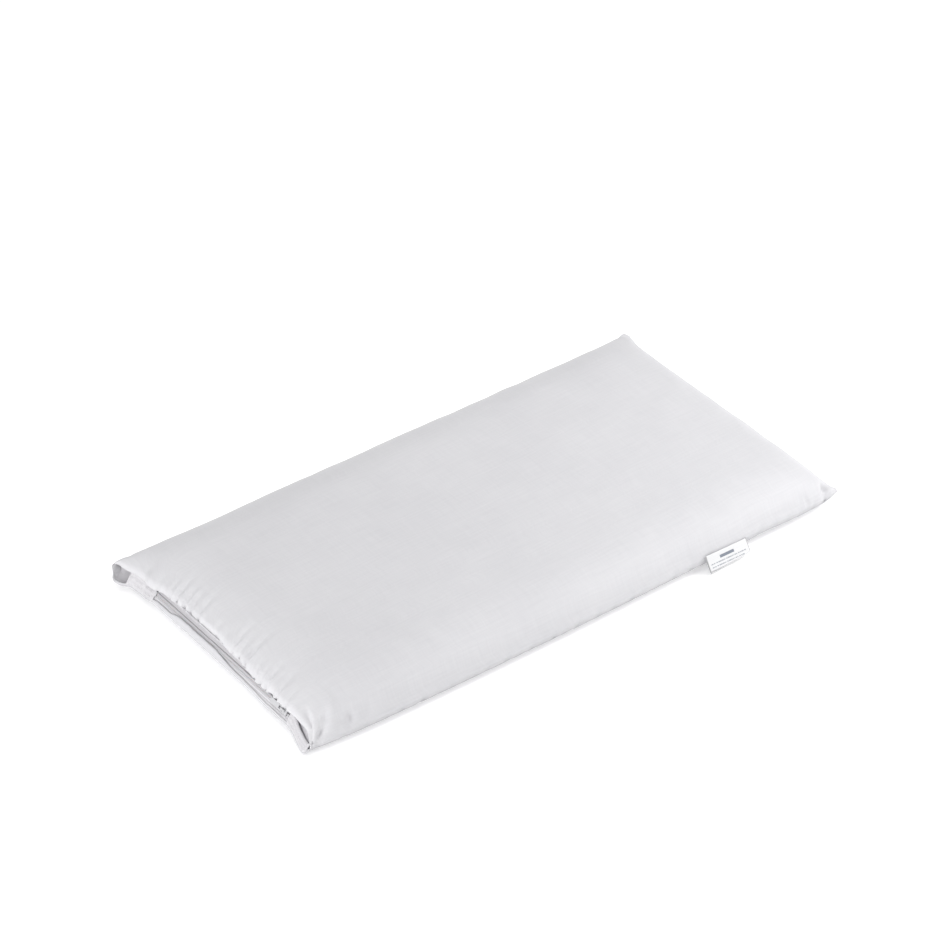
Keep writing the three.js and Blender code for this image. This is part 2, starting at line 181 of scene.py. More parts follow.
def sewn_end(v):
    """x of the sewn end at v."""
    blunt = by_side(v, *SEWN_TIP_CUT) * smooth((np.abs(v) - 0.955) / 0.045)
    return HALF_LENGTH - SEWN_END_DIP * (1 - v**4) - blunt


def seam_height(u, v, lip_height):
    """z of the seam: level along the sides, and close to each tip the tip's own height."""
    tip = np.where(u < 0, by_side(v, *ZIP_TIPS), by_side(v, *SEWN_TIPS))
    power = np.where((u > 0) & (v < 0), SHARP_TIP_POWER, TIP_POWER)
    drawn_up = SEAM_RISE * bell(u - SEAM_RISE_PLACE, 0.08)
    along_side = SEAM_HEIGHT - (FRONT_SEAM_DROP - drawn_up) * smooth((-v - 0.4) / 0.5)
    side = along_side + (tip - along_side) * np.abs(u * v) ** power
    near_zip = np.maximum(0, -u) ** TIP_POWER
    return side * (1 - near_zip) + lip_height * near_zip


def round_edge(distance, reach, roundness):
    """0 at the edge, rising round to 1 at a distance of reach."""
    left = np.clip(1 - distance / reach, 0, 1)
    return (1 - left**roundness) ** (1 / roundness)


def stretched(u, v, lip, level, reach, roundness, lift):
    """Points of a surface stretched over the case's outline, flat at level in its middle."""
    low, lip_height = lip(v)
    high = sewn_end(v)
    side = side_reach(u, v)
    x = low + (high - low) * (u + 1) / 2
    y = side * v
    lengthways = round_edge(np.minimum(x - low, high - x), reach, roundness)
    crossways = round_edge(side - np.abs(y), reach, roundness)
    both = lengthways * crossways
    rise = both / np.maximum(lengthways + crossways - both, 1e-9)
    seam = seam_height(u, v, lip_height) + lift
    return xyz(x, y, seam + (level - seam) * rise)


# ---- Grids and meshes ----
def graded(length, finest, widest, reach):
    """Places from -1 to 1 along a length, close together within reach of either end."""
    places = [0.0]
    while places[-1] < length / 2:
        step = finest + (widest - finest) * float(smooth((places[-1] - reach / 2) / reach))
        places.append(places[-1] + step)
    half = np.array(places) / places[-1]
    return np.concatenate([half - 1, (1 - half[:-1])[::-1]])


def grid_normals(points):
    """Unit normals of a grid, on the side that its two directions turn towards."""
    along = np.gradient(points, axis=0)
    aside = np.gradient(points, axis=1)
    normal = np.cross(along, aside)
    return normal / np.maximum(np.linalg.norm(normal, axis=2, keepdims=True), 1e-9)


def arc_lengths(points, axis):
    """How far each grid point is from the grid's first line, measured over the surface."""
    steps = np.linalg.norm(np.diff(points, axis=axis), axis=2)
    start = np.zeros_like(np.take(steps, [0], axis=axis))
    return np.cumsum(np.concatenate([start, steps], axis=axis), axis=axis)


def grid_faces(n, m, first=0, flip=False):
    i, j = grid(np.arange(n - 1), np.arange(m - 1))
    a = first + (i * m + j).ravel()
    quads = np.stack([a, a + m, a + m + 1, a + 1], axis=1)
    return quads[:, ::-1] if flip else quads


def border(n, m):
    """The indices of a grid's border, in order round it."""
    number = np.arange(n * m).reshape(n, m)
    return np.concatenate([number[:-1, 0], number[-1, :-1], number[:0:-1, -1], number[0, :0:-1]])


def in_scene(name, data):
    """An object that holds the data, put in the scene."""
    made = bpy.data.objects.new(name, data)
    bpy.context.scene.collection.objects.link(made)
    return made


def mesh_object(name, points, faces, material, body="pillow", uv=None):
    """A smooth-shaded mesh from points in millimetres, which rides on a body."""
    mesh = bpy.data.meshes.new(name)
    mesh.from_pydata((points * MM).tolist(), [], [tuple(f) for f in faces])
    mesh.update()
    mesh.shade_smooth()
    if uv is not None:
        layer = mesh.uv_layers.new(name="cloth")
        corners = np.zeros(len(mesh.loops), int)
        mesh.loops.foreach_get("vertex_index", corners)
        layer.data.foreach_set("uv", uv[corners].ravel())
    mesh.materials.append(material)
    piece = in_scene(name, mesh)
    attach(piece, body)
    return piece


def shell(name, outer, inner, material, body="pillow"):
    """A thin closed piece between two grids, with its faces turned out of it."""
    if np.mean(np.sum(grid_normals(outer) * (outer - inner), axis=2)) < 0:
        outer, inner = outer[:, ::-1], inner[:, ::-1]
    n, m = outer.shape[:2]
    points = np.concatenate([outer.reshape(-1, 3), inner.reshape(-1, 3)])
    edge = border(n, m)
    after = np.roll(edge, -1)
    band = np.stack([edge, edge + n * m, after + n * m, after], axis=1)
    faces = np.concatenate([grid_faces(n, m), grid_faces(n, m, n * m, True), band])
    cloth = np.stack([arc_lengths(outer, 0), arc_lengths(outer, 1)], axis=-1).reshape(-1, 2) * MM
    return mesh_object(name, points, faces, material, body, np.concatenate([cloth, cloth]))


class Strands:
    """Many thin round threads gathered into one mesh."""

    def __init__(self, radius, sides):
        self.radius = radius
        self.sides = sides
        self.points = []
        self.faces = []
        self.count = 0

    def add(self, path, reference):
        """A thread along a path; reference is a direction that the path never runs along."""
        tangent = np.gradient(path, axis=0)
        tangent /= np.linalg.norm(tangent, axis=1, keepdims=True)
        sideways = np.cross(tangent, reference)
        sideways /= np.linalg.norm(sideways, axis=1, keepdims=True)
        upward = np.cross(sideways, tangent)
        turn = np.arange(self.sides) * TURN / self.sides
        ring = sideways[:, None] * np.cos(turn)[:, None] + upward[:, None] * np.sin(turn)[:, None]
        self.points.append((path[:, None] + ring * self.radius).reshape(-1, 3))
        n = len(path)
        k = self.sides
        first = self.count
        for i in range(n - 1):
            for j in range(k):
                a = first + i * k + j
                b = first + i * k + (j + 1) % k
                self.faces.append((a, b, b + k, a + k))
        self.faces.append(tuple(first + j for j in reversed(range(k))))
        self.faces.append(tuple(first + (n - 1) * k + j for j in range(k)))
        self.count += n * k

    def stitch(self, start, end, out, height):
        """One stitch that dips into the cloth at both ends and stands height proud of it."""
        t = np.linspace(0, 1, 7)[:, None]
        lift = (np.sin(t * math.pi) ** 0.5 * 1.3 - 0.3) * height
        path = start + (end - start) * t + out * lift
        self.add(path, out)

    def make(self, name, material):
        return mesh_object(name, np.concatenate(self.points), self.faces, material)


# ---- Materials ----
class Look:
    """A procedural material with a Principled shader, built node by node."""

    def __init__(self, name, roughness, **values):
        self.material = bpy.data.materials.new(name)
        self.material.use_nodes = True
        self.tree = self.material.node_tree
        self.shader = self.tree.nodes["Principled BSDF"]
        self.set(self.shader, Roughness=roughness, **values)

    def set(self, node, **values):
        """Sets a node's properties and inputs. An input's name has _ where it has a space."""
        for key, value in values.items():
            if hasattr(node, key):
                setattr(node, key, value)
            else:
                node.inputs[key.replace("_", " ")].default_value = value
        return node

    def node(self, kind, **values):
        return self.set(self.tree.nodes.new(kind), **values)

    def link(self, start, end):
        self.tree.links.new(start, end)

    def place(self, scale, uv=None):
        """Coordinates in metres, scaled: the cloth's own where it has them, or the object's."""
        if uv:
            source = self.node("ShaderNodeUVMap", uv_map=uv).outputs["UV"]
        else:
            source = self.node("ShaderNodeTexCoord").outputs["Object"]
        scales = scale if isinstance(scale, tuple) else (scale, scale, scale)
        mapping = self.node("ShaderNodeMapping", Scale=scales)
        self.link(source, mapping.inputs["Vector"])
        return mapping.outputs["Vector"]

    def noise(self, scale, detail=3.0, roughness=0.5, uv=None):
        noise = self.node("ShaderNodeTexNoise", Scale=1.0, Detail=detail, Roughness=roughness)
        self.link(self.place(scale, uv), noise.inputs["Vector"])
        return noise.outputs["Fac"]

    def bands(self, scale, direction, uv=None):
        wave = self.node("ShaderNodeTexWave", bands_direction=direction, Scale=1.0)
        self.link(self.place(scale, uv), wave.inputs["Vector"])
        return wave.outputs["Fac"]

    def math(self, operation, first, second):
        made = self.node("ShaderNodeMath", operation=operation)
        for socket, value in zip(made.inputs, (first, second)):
            if isinstance(value, (int, float)):
                socket.default_value = value
            else:
                self.link(value, socket)
        return made.outputs[0]

    def times(self, first, second):
        return self.math("MULTIPLY", first, second)

    def blend(self, first, weight, second, other_weight):
        """The sum of two values, each times its own weight."""
        return self.math("ADD", self.times(first, weight), self.times(second, other_weight))

    def spread(self, value, low=0, high=1):
        """Stretches a value near one half to run from low to high."""
        made = self.node("ShaderNodeMapRange", From_Min=0.3, From_Max=0.7, To_Min=low, To_Max=high)
        self.link(value, made.inputs["Value"])
        return made.outputs["Result"]

    def mix(self, factor, first, second):
        made = self.node("ShaderNodeMix", data_type="RGBA")
        self.link(factor, made.inputs["Factor"])
        for socket, colour in ((made.inputs[6], first), (made.inputs[7], second)):
            if isinstance(colour, tuple):
                socket.default_value = (*colour, 1)
            else:
                self.link(colour, socket)
        return made.outputs[2]

    def colour(self, factor, first, second):
        """Colours the surface from first, where the factor is 0, to second, where it is 1."""
        self.link(self.mix(factor, first, second), self.shader.inputs["Base Color"])

    def roughness(self, value):
        self.link(value, self.shader.inputs["Roughness"])

    def bump(self, height, distance):
        made = self.node("ShaderNodeBump", Strength=1.0, Distance=distance)
        self.link(height, made.inputs["Height"])
        self.link(made.outputs["Normal"], self.shader.inputs["Normal"])


def woven_look(name, light, dark, pitch, slub, roughness=0.55):
    """Plain weave: two sets of threads, uneven ones among them, and a faint sheen."""
    look = Look(name, roughness, Sheen_Weight=0.25, Sheen_Roughness=0.4, Specular_IOR_Level=0.35)
    turns = 1 / pitch / 20 * TURN  # a wave texture has a band in each tenth of a turn
    warp = look.bands(turns, "X", "cloth")
    weft = look.bands(turns, "Y", "cloth")
    lengthways = look.noise((30, 520, 24), uv="cloth")
    crossways = look.noise((520, 30, 24), uv="cloth")
    slubs = look.blend(lengthways, 0.55, crossways, 0.45)
    cloudy = look.noise(14, detail=2)
    look.colour(look.spread(look.blend(slubs, slub, cloudy, 1 - slub)), dark, light)
    look.roughness(look.spread(slubs, roughness - 0.05, roughness + 0.07))
    look.bump(look.blend(look.blend(warp, 0.5, weft, 0.5), 0.5, slubs, 1.6), 0.00006)
    return look.material


def thread_look(name, light, dark):
    """Twisted thread: fine slanting bands along it."""
    look = Look(name, 0.5, Sheen_Weight=0.2, Sheen_Roughness=0.4)
    look.colour(look.noise(700), dark, light)
    look.bump(look.bands((420, 900, 420), "DIAGONAL"), 0.00003)
    return look.material


def fibre_look(name, light, dark):
    """Loose fibre: fine strands that run one way, in soft tufts."""
    look = Look(name, 0.9, Sheen_Weight=0.4, Sheen_Roughness=0.6)
    strands = look.noise((60, 900, 300), detail=5)
    tufts = look.noise(45, detail=4)
    look.colour(look.spread(tufts), dark, light)
    look.bump(look.math("ADD", strands, tufts), 0.0012)
    return look.material


def nylon_look(name, light, dark):
    """Nylon filament, faintly streaked where it was drawn."""
    look = Look(name, 0.35, Specular_IOR_Level=0.5, Subsurface_Weight=0.05, Subsurface_Scale=0.001)
    drawn = look.noise((1500, 300, 1500), detail=2)
    look.colour(look.spread(drawn), dark, light)
    look.roughness(look.spread(drawn, 0.3, 0.45))
    look.bump(drawn, 0.00003)
    return look.material


def lacquer_look(name, light, dark):
    """White enamel on die-cast zinc, a little uneven and dulled where it rubs."""
    look = Look(name, 0.3, Coat_Weight=0.4, Coat_Roughness=0.15, Specular_IOR_Level=0.5)
    wear = look.noise(350, detail=5, roughness=0.65)
    look.colour(look.spread(wear), dark, light)
    look.roughness(look.spread(wear, 0.24, 0.42))
    look.bump(look.noise(900, detail=2), 0.00004)
    return look.material


def label_look(name, width, leaf_length):
    """White satin ribbon printed on its front leaf with a short bar and two lines of dashes."""
    look = Look(name, 0.4, Sheen_Weight=0.15, Sheen_Roughness=0.3)
    split = look.node("ShaderNodeSeparateXYZ")
    look.link(look.node("ShaderNodeUVMap", uv_map="cloth").outputs["UV"], split.inputs[0])
    across = look.math("DIVIDE", split.outputs["X"], width)
    down = look.math("DIVIDE", split.outputs["Y"], leaf_length)

    def inside(value, centre, half):
        """1 where the value is nearer to the centre than half."""
        offset = look.math("ABSOLUTE", look.math("SUBTRACT", value, centre), 0)
        return look.math("LESS_THAN", offset, half)

    def stripe(height, half_height, middle, half_width, strength):
        """A rectangle, in shares of the leaf's length down it and of its width across it."""
        shape = look.times(inside(down, height, half_height), inside(across, middle, half_width))
        return look.times(shape, strength)

    bar = stripe(0.34, 0.09, 0.48, 0.17, 0.85)
    first = stripe(0.61, 0.035, 0.48, 0.43, 0.6)
    second = stripe(0.81, 0.035, 0.46, 0.39, 0.6)
    dashes = look.math("GREATER_THAN", look.noise((1100, 1, 1), detail=1), 0.47)
    ink = look.math("ADD", bar, look.times(look.math("ADD", first, second), dashes))
    satin = look.noise((60, 60, 1800), detail=2)
    ground = look.mix(look.spread(satin), (0.735, 0.735, 0.745), (0.77, 0.77, 0.78))
    # The dark grey along the cut edges and the fold is partly the heat-cut edge's own slightly darker
    # colour and mostly painted shade, an outline where the ribbon's edges and fold turn from the
    # light
    off_fold = look.math("SUBTRACT", 1, inside(down, 1.0, 0.03))
    middle = look.times(inside(across, 0.5, 0.485), off_fold)
    outline_and_painted_shade = look.mix(middle, (0.42, 0.42, 0.43), ground)  # the heat-cut edges and the fold
    look.colour(ink, outline_and_painted_shade, (0.11, 0.14, 0.19))
    look.bump(satin, 0.00002)
    return look.material


def floor_look(name):
    """A pale matt floor that glows a little."""
    white = (1, 1, 1, 1)
    look = Look(name, 0.9, Specular_IOR_Level=0.1, Emission_Color=white, Emission_Strength=0.26)
    look.colour(look.spread(look.noise(2, detail=2)), (0.955, 0.955, 0.96), (0.965, 0.965, 0.965))
    return look.material


# Weaves: light and dark shade, metres between threads, and how far the slubs show
CASE_PITCH, COARSE_PITCH, TAB_PITCH = 0.0005, 0.0009, 0.0008
CASE_LIGHT, CASE_DARK = (0.668, 0.664, 0.682), (0.596, 0.592, 0.614)
# The underside is the same white cloth as the top, made darker as painted shade, so that its flap at
# the zip shows darker than the top's lip
SHADED_UNDERSIDE_LIGHT, SHADED_UNDERSIDE_DARK = (0.618, 0.614, 0.632), (0.548, 0.544, 0.566)
# The zip's tapes are white; their greys are painted shade: the upper tape darker, for the deep shade
# under the top panel's fold, and the lower tape lighter, in less shade
TAPE_SHADE_GREY, LESS_SHADED_GREY = (0.55, 0.54, 0.56), (0.68, 0.67, 0.69)
CASE_CLOTH = woven_look("case_cloth_weave", CASE_LIGHT, CASE_DARK, CASE_PITCH, 0.7)
SHADED_UNDERSIDE_CLOTH = woven_look(
    "case_underside_painted_shade_weave", SHADED_UNDERSIDE_LIGHT, SHADED_UNDERSIDE_DARK, CASE_PITCH, 0.7
)
LINING = woven_look("lining_weave", (0.76, 0.76, 0.73), (0.68, 0.68, 0.65), COARSE_PITCH, 0.3, 0.85)
SHADED_TAPE = woven_look("zip_tape_weave", TAPE_SHADE_GREY, (0.41, 0.40, 0.42), COARSE_PITCH, 0.5, 0.7)
LOWER_TAPE = woven_look("zip_tape_weave_less_shaded", LESS_SHADED_GREY, TAPE_SHADE_GREY, COARSE_PITCH, 0.5, 0.7)
TAB_CLOTH = woven_look("tab_weave", (0.66, 0.65, 0.67), (0.56, 0.55, 0.57), TAB_PITCH, 0.5, 0.65)
THREAD = thread_look("stitching_thread", (0.74, 0.73, 0.75), (0.64, 0.63, 0.65))
FIBRE = fibre_look("polyester_fibre", (0.82, 0.82, 0.80), (0.68, 0.68, 0.66))
NYLON = nylon_look("coil_nylon", (0.67, 0.66, 0.68), (0.56, 0.55, 0.57))
# The slider, pull and stops are white enamel; their mid grey, darker than the white case, is painted
# shade for the shade they sit in at the zip's end
SHADED_LACQUER = lacquer_look("white_lacquer", (0.58, 0.58, 0.59), (0.50, 0.50, 0.52))

# ---- Relief of the cloth ----
random = np.random.default_rng(11)


def undulation(x, y, wavelength, height, count):
    """A gentle uneven surface: a sum of waves that run in different directions."""
    total = np.zeros_like(x)
    for _ in range(count):
        angle = random.uniform(0, math.pi)
        length = wavelength * random.uniform(0.7, 1.5)
        phase = random.uniform(0, TURN)
        total += np.sin((x * math.cos(angle) + y * math.sin(angle)) * TURN / length + phase)
    return total * height / math.sqrt(count)


def puckers(along, away, span, pitch, depth, length, width, slant):
    """Short creases that run in from an edge. Each size is a pair, its least and its most."""
    total = np.zeros_like(along)
    place = span[0] + random.uniform(0, pitch[1])
    while place < span[1]:
        deep = depth[0] + (depth[1] - depth[0]) * random.uniform() ** 2
        long = random.uniform(*length)
        wide = random.uniform(*width)
        lean = random.uniform(-slant, slant)
        offset = along - place - lean * away
        total -= deep * bell(away, long) * bell(offset, wide * (1 + 0.7 * away / long))
        place += random.uniform(*pitch)
    return total


GATHER_STRENGTH = 1.35
GATHER_WIDTH = 2.1
GATHER_LEAN = 0.12


def gather(along, away, place, depth, length):
    """One deep pucker with a ridge on either side of it, which runs in from an edge."""
    width = GATHER_WIDTH * (1 + 0.8 * away / length)
    offset = (along - place - GATHER_LEAN * away) / width
    height = GATHER_STRENGTH * depth * (1.2 * offset**2 - 1)
    return height * bell(offset, 1) * bell(away, length)


def crease(points, start, end, width, depth):
    """A fold from start to end, deepest in its middle, or a ridge where depth is negative."""
    start = np.array(start, float)
    line = np.array(end, float) - start
    t = np.clip(((points - start) @ line) / (line @ line), 0, 1)
    distance = np.linalg.norm(points - start - t[..., None] * line, axis=-1)
    return -depth * bell(distance, width) * (0.35 + 0.65 * np.sin(math.pi * t))


# ---- The case ----
U_TOP = graded(2 * HALF_LENGTH, 1.1, 2.9, 40)
V_TOP = graded(2 * HALF_WIDTH, 0.9, 1.9, 14)
SEAM_GROOVE = 0.5  # how deep the cloth dips into a seam
GROOVE_REACH = 1.3


def edge_distances(points):
    """How far each point of a panel is from the zip, the sewn end, the front and the back."""
    from_zip = arc_lengths(points, 0)
    from_front = arc_lengths(points, 1)
    return from_zip, from_zip[-1] - from_zip, from_front, from_front[:, -1:] - from_front


def draw_in(outer, distances):
    """Draws the cloth in where it dips into its three sewn seams."""
    from_zip, from_end, from_front, from_back = distances
    sideways = bell(from_front, GROOVE_REACH) - bell(from_back, GROOVE_REACH)
    outer[..., 1] += SEAM_GROOVE * sideways * smooth(from_zip / 14)
    outer[..., 0] -= SEAM_GROOVE * bell(from_end, GROOVE_REACH)


SETTLING = dict(
    quality=5,
    mass=0.2,
    tension_stiffness=15,
    compression_stiffness=15,
    shear_stiffness=5,
    bending_stiffness=0.3,
    use_pressure=True,
    uniform_pressure_force=4,
    shrink_min=-0.02,
    vertex_group_mass="held",
)
SETTLE_FRAMES = 20
SETTLED_SHARE = 0.3  # how much of the simulated gathers the finished cloth keeps
GATHER_LIMIT = 1.6  # their greatest height
U_SETTLE = np.linspace(-1, 1, 145)
V_SETTLE = np.linspace(-1, 1, 75)


def box_blur(field, reach, axis):
    """Each value's mean with its neighbours within reach of it along an axis."""
    around = [(reach, reach) if k == axis else (0, 0) for k in (0, 1)]
    total = np.cumsum(np.pad(field, around, mode="edge"), axis=axis)
    total = np.concatenate([np.zeros_like(np.take(total, [0], axis=axis)), total], axis=axis)
    size = 2 * reach + 1
    places = np.arange(field.shape[axis])
    return (np.take(total, places + size, axis=axis) - np.take(total, places, axis=axis)) / size


def softened(field, reach, times, axes=(0, 1)):
    """The field, blurred a number of times."""
    for axis in times * axes:
        field = box_blur(field, reach, axis)
    return field


def inflated(points):
    """Where a simulated cloth comes to that is held round its rim and blown up by air."""
    n, m = points.shape[:2]
    mesh = bpy.data.meshes.new("settling")
    mesh.from_pydata((points.reshape(-1, 3) * MM).tolist(), [], [tuple(f) for f in grid_faces(n, m)])
    cloth = in_scene("settling", mesh)
    cloth.vertex_groups.new(name="held").add(border(n, m).tolist(), 1.0, "REPLACE")
    modifier = cloth.modifiers.new("settling", "CLOTH")
    settings = modifier.settings
    for key, value in SETTLING.items():
        setattr(settings, key, value)
    settings.effector_weights.gravity = 0
    modifier.collision_settings.use_collision = False
    for number in range(1, SETTLE_FRAMES + 1):
        bpy.context.scene.frame_set(number)
    settled = cloth.evaluated_get(bpy.context.evaluated_depsgraph_get()).to_mesh()
    places = np.zeros(3 * n * m, np.float32)
    settled.vertices.foreach_get("co", places)
    bpy.data.objects.remove(cloth)
    bpy.data.meshes.remove(mesh)
    bpy.context.scene.frame_set(1)
    return places.reshape(n, m, 3) / MM


def top_shape(u, v):
    return stretched(u, v, upper_lip, THICKNESS, CROWN_REACH, TOP_ROUNDNESS, PANEL_GAP)


def settled_gathers():
    """The height of the gathers in a simulated cloth, without its broad swelling."""
    u, v = grid(U_SETTLE, V_SETTLE)
    smooth_top = top_shape(u, v)
    rise = np.sum((inflated(smooth_top) - smooth_top) * grid_normals(smooth_top), axis=2)
    by_end = (1 - np.abs(u)) * HALF_LENGTH
    by_long_side = (1 - np.abs(v)) * HALF_WIDTH
    long_side = smooth((by_end - by_long_side) / 30 + 0.5)
    lengthways = rise - softened(rise, 5, 2, axes=(0,))
    crossways = rise - softened(rise, 5, 2, axes=(1,))
    gathers = softened(lengthways * long_side + crossways * (1 - long_side), 1, 1)
    part = np.array([np.interp(V_TOP, V_SETTLE, row) for row in gathers])
    whole = np.array([np.interp(U_TOP, U_SETTLE, column) for column in part.T]).T
    whole = softened(SETTLED_SHARE * whole, 1, 2)
    return GATHER_LIMIT * np.tanh(whole / GATHER_LIMIT)


# The strong puckers along the zip: place along Y, depth and length
LIP_GATHERS = (
    (96, 1.2, 11), (80, 1.8, 14), (71, 2.4, 18), (60, 2.8, 17), (51, 3.2, 16),
    (39, 2.4, 20), (12, 1.2, 11), (-14, 2.2, 22), (-23, 1.8, 14), (-34, 4.0, 21),
    (-50, 1.8, 11), (-58, 1.6, 11), (-67, 2.6, 17), (-84, 2.4, 16), (-98, 1.8, 13),
)
HEM_END = {"across": 6.0, "out": -0.4}  # where the folded lip is sewn to the zip's tape
HEM_RADIUS = 1.3  # of the roll at the lip's edge
CROWN_RISE = 1.6
CROWN_FALL = 1.2
INNER_REACH = 12  # the top has its full crown beyond this from its edges
LIP_SWELL = 1.4
LIP_SINK = 1.4
# The stretches of the edges that have puckers
ALONG_ZIP = (-122, 136)
ALONG_SIDE = (-262, 285)
ALONG_END = (-138, 138)
# Folds in the top's corners: start, end, width and depth, with a ridge where depth is negative
CORNER_FOLDS = (
    # up from the front corner at the zip
    ((-279, -140, 13), (-266, -117, 28), 2.7, 4.4),
    ((-276, -139, 16), (-266, -131, 27), 2.2, -1.6),
    ((-275, -141, 13), (-265, -139, 21), 2.6, 4.2),
    ((-265, -137, 23), (-256, -130, 33), 3.0, 1.8),
    ((-259, -143, 19), (-247, -121, 35), 4.2, -2.4),
    ((-243, -144, 16), (-239, -140, 26), 3.6, 2.8),
    ((-228, -146, 14), (-222, -141, 27), 4.0, 1.0),
    # beside the raised back corner
    ((-276, 150, 20), (-264, 140, 26), 3.2, 1.8),
    ((-284, 148, 19), (-277, 143, 22), 1.3, 1.0),
    # beside the two corners of the sewn end
    ((275, -147, 17), (281, -140, 24), 3.8, 5.4),
    ((255, -148, 14), (253, -144, 24), 2.4, 1.4),
    ((246, -148, 14), (248, -142, 26), 2.6, 1.2),
    ((284, 141, 15), (272, 133, 24), 3.0, 1.2),
)


def hang_lip(outer, from_zip):
    """Lets the upper lip hang out and down over both ends of the zip, clear of the slider."""
    y = outer[..., 1]
    front = hump(-y, 60, 26, 114, 14)
    back = hump(y, 84, 20, 134, 12)
    # Between the slider's two ends it hangs low towards the front, and stands up behind
    low = hump(-y, 22, 34, 66, 10)
    high = hump(y, -8, 22, 58, 16)
    near = bell(from_zip, 15)
    at_lip = bell(from_zip, 7)
    out = (3.7 * front + 2.4 * back) * near + 0.8 * low * at_lip
    down = (2.8 * front + 3.4 * back) * near + (3.6 * low - 2.2 * high) * at_lip
    outer += out[..., None] * OUTWARD
    outer -= down[..., None] * ACROSS


def bend(t, start, middle, end):
    """A place on the curve that leaves start towards middle and comes from there to end."""
    return (1 - t) ** 2 * start + 2 * t * (1 - t) * middle + t**2 * end


def hem_rows(start, opening):
    """The folded lip's way back into the mouth: up behind the fold, then in to the tape."""
    across = (start - ZIP_CENTRE) @ ACROSS
    out = (start - ZIP_CENTRE) @ OUTWARD
    rows = []
    for t in (0.3, 0.6, 1.0):
        up = bend(t, across, np.maximum(across + 1.8, 4.8), HEM_END["across"]) - across
        back = bend(t, out, 0.9 * out, HEM_END["out"]) - out
        rows.append(start + opening * (up[:, None] * ACROSS + back[:, None] * OUTWARD))
    return rows


def top_relief(base, distances):
    """How far the top's cloth stands out from its smooth shape, or in where it is negative."""
    x, y = base[..., 0], base[..., 1]
    from_zip, from_end, from_front, from_back = distances
    edge = np.minimum.reduce(distances)
    relief = undulation(x, y, 150, 0.35, 7) * smooth(edge / INNER_REACH)
    relief += undulation(x, y, 45, 0.12, 7) * smooth(edge / 20)
    relief += settled_gathers() * smooth(edge / 3) * (0.4 + 0.6 * smooth(from_zip / 60))
    relief += LIP_SWELL * within(y, 128, 20) * bell(from_zip - 3, 7)
    for place, depth, length in LIP_GATHERS:
        relief += gather(y, from_zip, place, depth, length)
    relief += puckers(y, from_zip, ALONG_ZIP, (5, 15), (0.15, 1.3), (6, 18), (1.5, 2.8), 0.35)
    relief -= puckers(y, from_zip, ALONG_ZIP, (14, 30), (0.3, 1.0), (14, 34), (4.0, 7.0), 0.3)
    relief += puckers(x, from_front, ALONG_SIDE, (7, 22), (0.3, 1.2), (4, 12), (1.6, 3.0), 0.3)
    relief += puckers(x, from_back, ALONG_SIDE, (9, 26), (0.2, 0.9), (4, 11), (1.6, 3.0), 0.3)
    relief += puckers(y, from_end, ALONG_END, (8, 20), (0.3, 1.1), (5, 15), (1.7, 3.0), 0.3)
    for start, end, width, depth in CORNER_FOLDS:
        relief += crease(base, start, end, width, depth)
    return relief


def case_top():
    """The top panel: domed and puckered, with its lip at the zip turned under as a hem."""
    u, v = grid(U_TOP, V_TOP)
    base = top_shape(u, v)
    distances = edge_distances(base)
    from_zip = distances[0]
    crown = CROWN_RISE * (1 - u**2) * (1 - v**2) - CROWN_FALL * (1 - (1 - u**6) * (1 - v**4))
    base[..., 2] += crown * smooth(np.minimum.reduce(distances) / INNER_REACH)
    outer = base + grid_normals(base) * top_relief(base, distances)[..., None]
    draw_in(outer, distances)
    hang_lip(outer, from_zip)
    outer[..., 2] -= LIP_SINK * within(base[..., 1], 124, 30) * bell(from_zip, 7)

    lip = outer[0]
    radius = HEM_RADIUS * mouth_opening(V_TOP)[:, None]
    rows = []
    for angle in np.linspace(0, math.pi / 2, 6)[1:]:
        back = radius * (1 - math.cos(angle))
        down = radius * math.sin(angle)
        rows.append(lip + np.concatenate([back, 0 * radius, -down], axis=1))
    rows += hem_rows(rows[-1], smooth((130 - np.abs(lip[:, 1:2])) / 8))
    outer = np.concatenate([np.stack(rows[::-1]), outer])
    inner = outer - grid_normals(outer) * CLOTH
    piece = shell("pillow_case_top", outer, inner, CASE_CLOTH)
    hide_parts("case_top_panel")


U_BOTTOM = graded(2 * HALF_LENGTH, 1.2, 3.6, 26)
V_BOTTOM = graded(2 * HALF_WIDTH, 1.1, 2.4, 20)
FLAP_RADIUS = 0.9  # of the roll along the flap's top
FLAP_RETURN = 2.2  # how far the cloth goes back down behind the flap


def flap_rows(lip):
    """The lower lip stands up in the mouth as a flap over the zip's tape, then folds back in."""
    y = lip[:, 1]
    raised = hump(y, -25, 35, 58, 16)
    tall = (0.8 + 2.2 * smooth((y + 75) / 50) + 3.4 * raised) * within(y, 112, 20)
    tall = tall + undulation(y, 0 * y, 34, 0.16, 4) * smooth(tall)
    opening = mouth_opening(V_BOTTOM)[:, None]
    rows = []
    for share in (0.34, 0.67, 1.0):
        lean = (0.35 + 1.3 * raised[:, None]) * share * opening
        rows.append(lip + ACROSS * (tall * share)[:, None] + OUTWARD * lean)
    crest = rows[-1]
    for angle in np.linspace(0, math.pi, 5)[1:]:
        roll = ACROSS * math.sin(angle) - OUTWARD * (1 - math.cos(angle))
        rows.append(crest + FLAP_RADIUS * roll * opening)
    rows.append(rows[-1] - ACROSS * (FLAP_RETURN * opening))
    return rows


